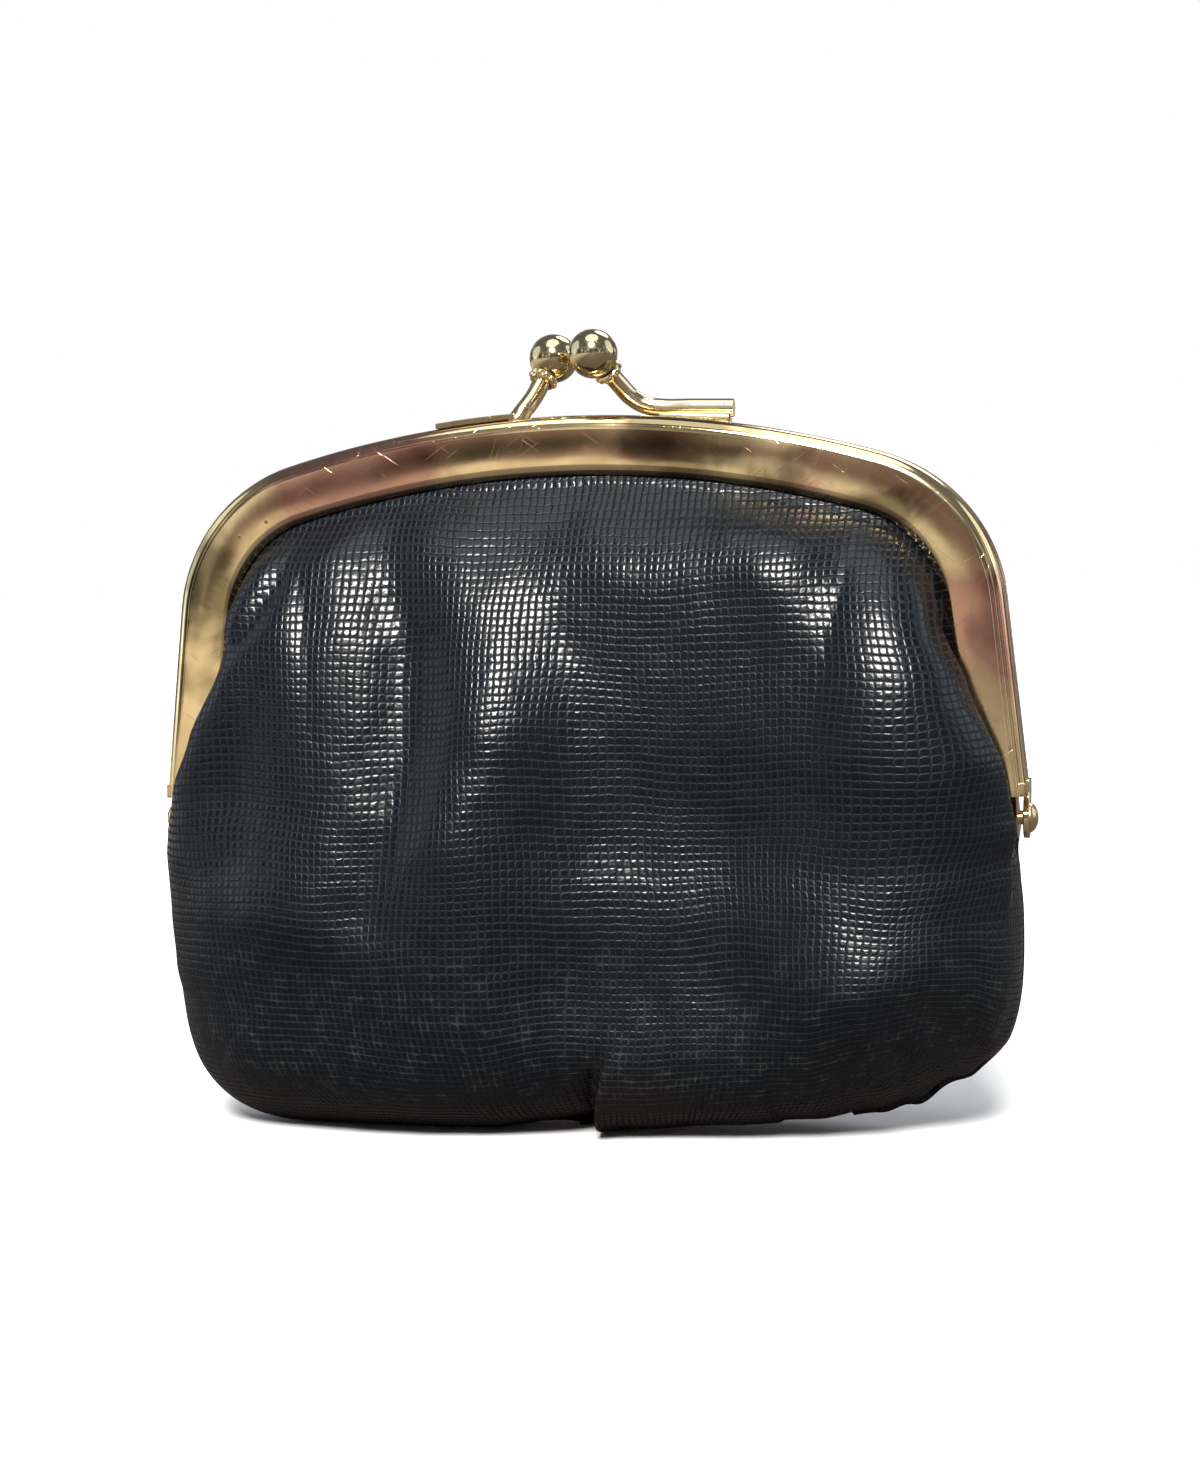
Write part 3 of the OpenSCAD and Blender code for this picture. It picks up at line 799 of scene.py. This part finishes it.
# How far the bottom edge is drawn up off the floor across the purse: the right corner is slumped
bottom_rise = [
    (-12, 0), (-4, 0.7), (2, 0.4), (6, 0.6), (16, 1.2), (26, 1.7), (33, 3.0), (37, 3.9), (40, 4.6), (44, 4.0),
    (48, 1.6), (50, 0.5)]
# Where the front's pleat meets the bottom and how it leans, and how much is trimmed off the left corner
pleat_x = 1.2
pleat_lean = 0.3
corner_trim = 1.1
# How much farther inside the leather the lining hangs between channel and seam
lining_room = 0.5 * mm


def fold_rise(x, z, folds):
    rise = 0.0
    for line, width, height in folds:
        rise += height * math.exp(-distance_to_line(x, z, line) / (width * width))
    return rise


def fold_panel(x, y, z, side, folds, loose):
    """Adds the folds and a slight waviness. On the flanks they push outwards, elsewhere forwards."""
    rise = fold_rise(x, z, folds)
    rise += noise.noise(Vector((x * 0.085, z * 0.06, 3.7 * side))) * 0.5
    rise += noise.noise(Vector((x * 0.3, z * 0.22, 9.1 * side))) * 0.16
    rise *= loose
    flank = max(-1, min(1, x / 49)) ** 3
    return x + rise * flank * 0.6, y - rise * (1 - abs(flank) * 0.5)


def fit_to_frame(x, y, z, side, down):
    """Swells the panel over the frame's arms, pinches it at the channel and tucks it in beside the hinges."""
    swelling = along(left_swell if x * side > 0 else right_swell, z)
    over_arm = blend_in(abs(x), 30, 43) * blend_in(-y, 4.3, 7.0)
    x += math.copysign(swelling * over_arm, x)
    if down > channel_down and z > 38:
        to_edge = arm_half / mm - (z - hinge_z / mm) * math.tan(arm_lean) - abs(x)
        y = min(y, -4.25 - 0.9 * (1 - blend_in(to_edge, face_width / mm - 1.2, face_width / mm + 0.3)))
    y += 0.45 * math.exp(-((down - channel_down) / 0.025) ** 2)

    tuck = blend_in(z, 31.5, 34.5) * (1 - blend_in(z, 39, 41)) * blend_in(y, -7.0, -4.4)
    x = math.copysign(min(abs(x), 47.0 + 4.2 * (1 - tuck)), x)
    seam = math.exp(-(y / 0.9) ** 2) * blend_in(34 - z, 0, 3)
    return x - math.copysign(0.55 * seam * blend_in(abs(x), 34, 44), x), y


def gather_bottom(x, y, z, side, seam_fade):
    """A lapped pleat in the front's bottom edge, a dimple in the rear's, and a slumped and crimped corner."""
    if side < 0:
        below = 1 - blend_in(z, 3, 12)
        if x > -20 and x < 22:
            across = x - pleat_x - pleat_lean * z
            lobe = blend_in(across, -0.7, 0.4)
            lift = lobe * 1.9 * math.exp(-max(0, across) / 3.5)
            lift -= (1 - lobe) * 3.6 * math.exp(min(0, across) / 4.2)
            y -= lift * below * blend_in(-y, 0.3, 2.5)
            z += (1 - lobe) * 1.5 * math.exp(min(0, across) / 3.0) * below - lobe * 0.3 * below
    else:
        below = (1 - blend_in(z, 3, 14)) * math.exp(-((x + 6) / 4) ** 2)
        y += 1.2 * below * seam_fade
    z += along(bottom_rise, x) * (1 - blend_in(z, 4, 27)) * (1.0 if side < 0 or x < 30 else 0.8)
    x -= corner_trim * (blend_in(-x, 24, 40) * (1 - blend_in(z, 3, 17)))
    crimp = blend_in(x, 33, 37) * (1 - blend_in(x, 47, 49)) * (1 - blend_in(z, 11, 19))
    wave = math.sin((x - 34.6 + 0.3 * z) * 0.95)
    return x, y - 0.7 * crimp * wave * seam_fade, z + 0.3 * crimp * wave


def shape_panel(place, side, folds, down):
    """Sculpts one point of a panel seen from outside, on its own side of the seam and above the floor."""
    x, y, z = place.x / mm, place.y / mm, place.z / mm
    seam_fade = blend_in(-y, 0.6, 5.0)
    loose = blend_in(down, 0.065, 0.14) * (1 - blend_in(down, 0.9, 1.0)) * seam_fade
    x, y = fold_panel(x, y, z, side, folds, loose)
    x, y = fit_to_frame(x, y, z, side, down)
    x, y, z = gather_bottom(x, y, z, side, seam_fade)
    parted = -0.05 * blend_in(z, 32, 36)
    return Vector((x * mm, min(y, parted) * mm, max(z, 0.02) * mm))


def add_panel(name, side, folds, columns, rows, under=0.0):
    """A grid of leather or cloth laid on the loft and shaped, with a grain map where 1 stands for 100 mm."""
    bpy.ops.mesh.primitive_grid_add(x_subdivisions=columns, y_subdivisions=rows, size=1)
    panel = bpy.context.object
    panel.name = name
    mesh = panel.data
    width = columns + 1
    line_run = 0.0
    runs = []
    for row in range(rows + 1):
        down = row / rows
        middle = panel_place(0.5, down, under)
        if row and down > join_down:
            line_run += (middle - previous).length
        runs.append(-line_run if down > join_down else middle.z - join_z)
        previous = middle
    grain = mesh.uv_layers[0] if mesh.uv_layers else mesh.uv_layers.new(name="grain")
    grain.name = "grain"
    grain_place = {}
    order = sorted(mesh.vertices, key=lambda v: (-round(v.co.y, 5), -round(v.co.x, 5)))
    girth = girth_runs[-1]
    for count, vertex in enumerate(order):
        row, column = divmod(count, width)
        share, down = column / columns, row / rows
        raw = panel_place(share, down, under)
        across = (0.5 - share) * girth
        waist_x = pouch_place(share, join_z, under).x
        if down <= join_down:
            settled = blend_in(raw.z, 66 * mm, join_z)
            grain_place[vertex.index] = (raw.x + (across - waist_x) * settled, raw.z - join_z)
        else:
            grain_place[vertex.index] = (across, runs[row])
        shaped = shape_panel(raw, side, folds, down)
        if under:
            hanging = blend_in(down, 0.065, 0.14) * (1 - blend_in(down, 0.85, 1.0))
            shaped.y += lining_room * hanging * blend_in(-shaped.y, 2 * mm, 5 * mm)
        if side > 0:
            shaped.y = -shaped.y
        vertex.co = shaped
    for corner in mesh.loops:
        u, v = grain_place[corner.vertex_index]
        grain.data[corner.index].uv = (u * 10 + 0.5, v * 10 + 0.5)
    mesh.update()
    begin_edit(panel)
    bpy.ops.mesh.normals_make_consistent(inside=False)
    end_edit()
    middle_face = min(mesh.polygons, key=lambda f: (f.center - Vector((0, side * 0.02, 0.03))).length)
    if middle_face.normal.y * side < 0:
        begin_edit(panel)
        bpy.ops.mesh.flip_normals()
        end_edit()
    choose(panel)
    bpy.ops.object.shade_smooth()
    return panel


def paint_wear(panel):
    """Marks where the leather is worn brown and where grey dust sits, as values at its points."""
    worn = panel.data.attributes.new("worn", "FLOAT", "POINT")
    dusty = panel.data.attributes.new("dusty", "FLOAT", "POINT")
    for i, vertex in enumerate(panel.data.vertices):
        x, z = vertex.co.x / mm, vertex.co.z / mm
        worn.data[i].value = math.exp(-(((x - 5) / 6) ** 2 + ((z - 2) / 4.5) ** 2))
        dusty.data[i].value = (1 - blend_in(z, 10, 34)) * (0.35 + 0.65 * blend_in(z, 1, 7))


columns, rows = ((200, 170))
front_leather = add_panel("front_leather", -1, front_folds, columns, rows)
rear_leather = add_panel("rear_leather", 1, rear_folds, columns, rows)
for panel in (front_leather, rear_leather):
    paint_wear(panel)
    add_modifier(panel, "SOLIDIFY", thickness=leather, offset=-1, use_even_offset=False, use_rim=True)


def grain_in_mm(tree):
    grain_map = node(tree, "UVMap", uv_map="grain")
    scaled = node(tree, "VectorMath", operation="SCALE", Vector=grain_map.outputs[0], Scale=100.0)
    return scaled.outputs[0]


crosshatch, tree, shader = new_finish("navy_crosshatched_leather")
grain_at = grain_in_mm(tree)
wander = node(tree, "TexNoise", Vector=grain_at, Scale=0.055, Detail=1.0)
jitter = node(tree, "TexNoise", Vector=grain_at, Scale=0.9, Detail=1.0)
apart = node(tree, "SeparateXYZ", Vector=grain_at)
wander_apart = node(tree, "SeparateColor", Color=wander.outputs["Color"])
jitter_apart = node(tree, "SeparateColor", Color=jitter.outputs["Color"])


def grid_line(tree, position, drift, shake, pitch):
    """Grid lines that wander: the count of lines passed, and how near one is, 0 in mid cell and 1 on it."""
    moved = calculate(tree, "MULTIPLY_ADD", drift, 3.0, position)
    moved = calculate(tree, "MULTIPLY_ADD", shake, 0.3, moved)
    counted = calculate(tree, "DIVIDE", moved, pitch)
    cell = calculate(tree, "FLOOR", counted)
    near = calculate(tree, "ABSOLUTE", calculate(tree, "SUBTRACT", calculate(tree, "FRACT", counted), 0.5))
    return cell, times(tree, near, 2.0)


# Millimetres from row to row and from column to column, and how sharply the grooves are cut
row_pitch = 0.9
column_pitch = 0.79
groove_power = 3.6
row_cell, row_near = grid_line(
    tree, apart.outputs[1], wander_apart.outputs[0], jitter_apart.outputs[0], row_pitch)
column_cell, column_near = grid_line(
    tree, apart.outputs[0], wander_apart.outputs[1], jitter_apart.outputs[1], column_pitch)
cell_at = node(tree, "CombineXYZ", X=row_cell, Y=column_cell)
cell_chance = node(tree, "TexWhiteNoise", Vector=cell_at.outputs[0])
ribbing = node(tree, "TexNoise", Vector=grain_at, Scale=0.07, Detail=1.0)
column_cut = spread(tree, ribbing.outputs[0], 0.38, 0.62, 1.0, 0.4)
row_cut = spread(tree, ribbing.outputs[0], 0.38, 0.62, 0.55, 1.0)
row_groove = times(tree, calculate(tree, "POWER", row_near, groove_power), row_cut)
column_groove = times(tree, calculate(tree, "POWER", column_near, groove_power), column_cut)
row_land = calculate(tree, "SUBTRACT", 1.0, row_groove)
column_land = calculate(tree, "SUBTRACT", 1.0, column_groove)
facet = times(tree, row_land, column_land)
facet = times(tree, facet, spread(tree, cell_chance.outputs["Value"], 0, 1, 0.75, 1.0))
pebble = node(tree, "TexNoise", Vector=grain_at, Scale=1.3, Detail=4.0, Roughness=0.45)
height = calculate(tree, "MULTIPLY_ADD", pebble.outputs[0], 0.7, facet)

tone = mix_colour(tree, facet, (0.0008, 0.0011, 0.0016, 1), (0.0013, 0.0040, 0.0072, 1))
patch = node(tree, "TexNoise", Vector=grain_at, Scale=0.09, Detail=3.0)
greyed = spread(tree, patch.outputs[0], 0.4, 0.7, 0.0, 0.5)
tone = mix_colour(tree, greyed, tone, (0.0022, 0.0038, 0.0040, 1))
dusty = node(tree, "Attribute", attribute_name="dusty")
specks = node(tree, "TexNoise", Vector=grain_at, Scale=0.45, Detail=4.0, Roughness=0.7)
dust = times(tree, dusty.outputs["Fac"], spread(tree, specks.outputs[0], 0.5, 0.72))
dust = times(tree, dust, spread(tree, facet, 0.2, 0.75, 0.62, 0.06))
tone = mix_colour(tree, dust, tone, (0.060, 0.064, 0.052, 1))
worn = node(tree, "Attribute", attribute_name="worn")
rubbed = spread(tree, patch.outputs[0], 0.3, 0.6, 0.15, 0.5)
browned = times(tree, worn.outputs["Fac"], rubbed)
tone = mix_colour(tree, browned, tone, (0.034, 0.006, 0.006, 1))
tree.links.new(tone, shader.inputs["Base Color"])
gloss = spread(tree, facet, 0.2, 0.75, 1.0, 0.2)
gloss = calculate(tree, "ADD", gloss, times(tree, dusty.outputs["Fac"], 0.03))
tree.links.new(gloss, shader.inputs["Roughness"])
shader.inputs["Specular IOR Level"].default_value = 0.3
pressed = node(tree, "Bump", Height=height, Distance=0.000085, Strength=1.0)
tree.links.new(pressed.outputs[0], shader.inputs["Normal"])

for panel, half, side in ((front_leather, "front", -1), (rear_leather, "rear", 1)):
    wear(panel, crosshatch)
    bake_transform(panel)
    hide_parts(half + "_leather_lower", half + "_leather_upper")


# ---- Lining ----
# A thin woven cloth bag inside the leather, cut to the same shape. It follows the broad folds only, hangs a
# little farther in between channel and seam, and is pinched in the channels with the leather.

lining_under = leather + 0.35 * mm
weave, tree, shader = new_finish("plain_weave_lining")
grain_at = grain_in_mm(tree)
apart = node(tree, "SeparateXYZ", Vector=grain_at)
warp = calculate(tree, "SINE", times(tree, apart.outputs[0], 14.0))
weft = calculate(tree, "SINE", times(tree, apart.outputs[1], 14.0))
over = times(tree, warp, weft)
slub = node(tree, "TexNoise", Vector=grain_at, Scale=1.3, Detail=3.0)
tone = mix_colour(tree, spread(tree, over, -1, 1), (0.030, 0.024, 0.026, 1), (0.075, 0.062, 0.064, 1))
tone = mix_colour(tree, spread(tree, slub.outputs[0], 0.45, 0.75, 0.0, 0.4), tone, (0.11, 0.09, 0.09, 1))
tree.links.new(tone, shader.inputs["Base Color"])
shader.inputs["Roughness"].default_value = 0.85
shader.inputs["Sheen Weight"].default_value = 0.2
woven = node(tree, "Bump", Height=over, Distance=0.00004, Strength=1.0)
tree.links.new(woven.outputs[0], shader.inputs["Normal"])

for half, side, folds in (("front", -1, front_folds), ("rear", 1, rear_folds)):
    broad_folds = [(line, width, rise) for line, width, rise in folds if width > 2.5]
    lining = add_panel(half + "_lining", side, broad_folds, 90, 72, lining_under)
    add_modifier(lining, "SOLIDIFY", thickness=0.3 * mm, offset=-1, use_rim=True)
    wear(lining, weave)
    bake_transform(lining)
    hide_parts(half + "_lining_lower", half + "_lining_upper")


# ---- Packing cord ----
# Twisted paper cord pressed into each channel over the edges of the leather and lining, to hold them there.
# The CAD's own cords show; here they only get their finish.

paper, tree, shader = new_finish("twisted_paper_cord")
place = tree.nodes.new("ShaderNodeTexCoord").outputs["Object"]
apart = node(tree, "SeparateXYZ", Vector=place)
slant = calculate(tree, "ADD", apart.outputs[0], calculate(tree, "ADD", apart.outputs[2], apart.outputs[1]))
strand = calculate(tree, "SINE", times(tree, slant, 5200.0))
fibre = node(tree, "TexNoise", Vector=place, Scale=2500.0, Detail=3.0)
tone = mix_colour(tree, spread(tree, strand, -1, 1), (0.24, 0.17, 0.09, 1), (0.52, 0.41, 0.26, 1))
tone = mix_colour(tree, spread(tree, fibre.outputs[0], 0.4, 0.7, 0.0, 0.4), tone, (0.60, 0.50, 0.34, 1))
tree.links.new(tone, shader.inputs["Base Color"])
shader.inputs["Roughness"].default_value = 0.9
twisted = node(tree, "Bump", Height=strand, Distance=0.0001, Strength=1.0)
tree.links.new(twisted.outputs[0], shader.inputs["Normal"])
for half in ("front", "rear"):
    wear(frame["nodes"][half + "_retaining_cord"], paper)


# ---- Seam stitches ----
# Waxed thread through both panels' edges, along the sides and the bottom of the pouch.
# Every stitch lies inside the seam, out of sight.

thread, tree, shader = new_finish("waxed_thread")
place = tree.nodes.new("ShaderNodeTexCoord").outputs["Object"]
apart = node(tree, "SeparateXYZ", Vector=place)
turns = calculate(tree, "ADD", times(tree, apart.outputs[1], 9000.0), apart.outputs[0])
ply = calculate(tree, "SINE", turns)
tone = mix_colour(tree, spread(tree, ply, -1, 1), (0.010, 0.012, 0.018, 1), (0.045, 0.050, 0.065, 1))
tree.links.new(tone, shader.inputs["Base Color"])
shader.inputs["Roughness"].default_value = 0.45
plied = node(tree, "Bump", Height=ply, Distance=0.00004, Strength=1.0)
tree.links.new(plied.outputs[0], shader.inputs["Normal"])

stitches = []
stitch_inset = 0.6 * mm
half_count = 17
stitch_spaces = 36
for i in range(-half_count, half_count + 1):
    share = 0.5 + i / stitch_spaces
    seam = shape_panel(panel_place(share, 1.0, stitch_inset), -1, [], 1.0)
    bpy.ops.mesh.primitive_cylinder_add(
        vertices=12, radius=0.22 * mm, depth=2.2 * mm, location=(seam.x, 0, seam.z),
        rotation=(math.pi / 2, 0, 0))
    stitch = bpy.context.object
    settle(stitch)
    add_modifier(stitch, "BEVEL", width=0.1 * mm, segments=2, limit_method="ANGLE", angle_limit=0.8)
    stitches.append(stitch)
seam_run = join("seam_run", *stitches)
choose(seam_run)
bpy.ops.object.shade_smooth_by_angle(angle=0.7)
wear(seam_run, thread)
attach(seam_run, "pouch")
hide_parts("seam_stitches")


# ---- Floor and light ----
# A pale floor as the camera sees it, a broad key light in front, and softer and cooler ones above, on both
# sides and behind.
# Reflections see a dim room, dusky rose on one side and cool grey on the other; the camera sees it white.

bpy.ops.mesh.primitive_plane_add(size=60, location=(0, 0, 0))
floor = bpy.context.object
floor.name = "floor"
pale, tree, shader = new_finish("pale_floor")
tooth = node(tree, "TexNoise", Scale=3000.0, Detail=3.0)
tone = mix_colour(
    tree, spread(tree, tooth.outputs[0], 0.3, 0.7), (0.83, 0.83, 0.82, 1), (0.86, 0.86, 0.85, 1))
lying = node(tree, "SeparateXYZ", Vector=tree.nodes.new("ShaderNodeTexCoord").outputs["Object"])
# In reflections and bounce light the floor is painted dark under the purse, with a painted warm light far to
# the left that lights the purse's lower left.
painted_reflection_light_and_shade = mix_colour(
    tree, spread(tree, lying.outputs[0], -0.4, -0.15), (0.40, 0.36, 0.31, 1), (0.10, 0.085, 0.08, 1))
sight = tree.nodes.new("ShaderNodeLightPath")
tone = mix_colour(tree, sight.outputs["Is Camera Ray"], painted_reflection_light_and_shade, tone)
tree.links.new(tone, shader.inputs["Base Color"])
shader.inputs["Roughness"].default_value = 0.8
shader.inputs["Specular IOR Level"].default_value = 0.1
wear(floor, pale)


def add_sun(name, turn, rise, width, strength, colour):
    """A broad distant light: degrees to the right of the front, degrees above the floor, width in degrees."""
    lamp = bpy.data.lights.new(name, "SUN")
    lamp.energy = strength
    lamp.angle = math.radians(width)
    lamp.color = colour
    light = bpy.data.objects.new(name, lamp)
    bpy.context.scene.collection.objects.link(light)
    turn, rise = math.radians(turn), math.radians(rise)
    source = Vector((math.sin(turn) * math.cos(rise), -math.cos(turn) * math.cos(rise), math.sin(rise)))
    light.rotation_euler = source.to_track_quat("Z", "Y").to_euler()


add_sun("key_light", 5, 38, 18, 7.5, (1.0, 0.985, 0.95))
add_sun("top_light", 0, 76, 45, 1.0, (0.97, 0.98, 1.0))
add_sun("left_light", -88, 20, 45, 0.45, (0.76, 0.9, 1.0))
add_sun("right_light", 105, 25, 40, 0.45, (0.82, 0.92, 1.0))
add_sun("back_light", 160, 50, 30, 0.8, (0.95, 0.98, 1.0))

world = bpy.data.worlds.new("studio")
bpy.context.scene.world = world
world.use_nodes = True
tree = world.node_tree
sky = tree.nodes["Background"]
look = tree.nodes.new("ShaderNodeTexCoord").outputs["Generated"]
tall = node(tree, "Mapping", Vector=look)
tall.inputs["Scale"].default_value = (1, 1, 0.45)
patches = node(tree, "TexNoise", Vector=tall.outputs[0], Scale=9.0, Detail=2.0)
sides = node(tree, "TexNoise", Vector=tall.outputs[0], Scale=2.3, Detail=1.0)
rise = node(tree, "SeparateXYZ", Vector=look)
room = mix_colour(
    tree, spread(tree, sides.outputs[0], 0.46, 0.54), (0.20, 0.12, 0.13, 1), (0.10, 0.12, 0.14, 1))
room = mix_colour(tree, spread(tree, patches.outputs[0], 0.55, 0.58), room, (0.95, 0.93, 0.90, 1))
room = mix_colour(tree, spread(tree, patches.outputs[0], 0.42, 0.38), room, (0.03, 0.028, 0.025, 1))
room = mix_colour(tree, spread(tree, rise.outputs[2], 0.2, 0.7), room, (0.17, 0.18, 0.20, 1))
sight = tree.nodes.new("ShaderNodeLightPath")
tree.links.new(
    mix_colour(tree, sight.outputs["Is Camera Ray"], room, (1.0, 1.0, 1.0, 1)), sky.inputs["Color"])
bpy.context.scene.view_settings.view_transform = "Standard"
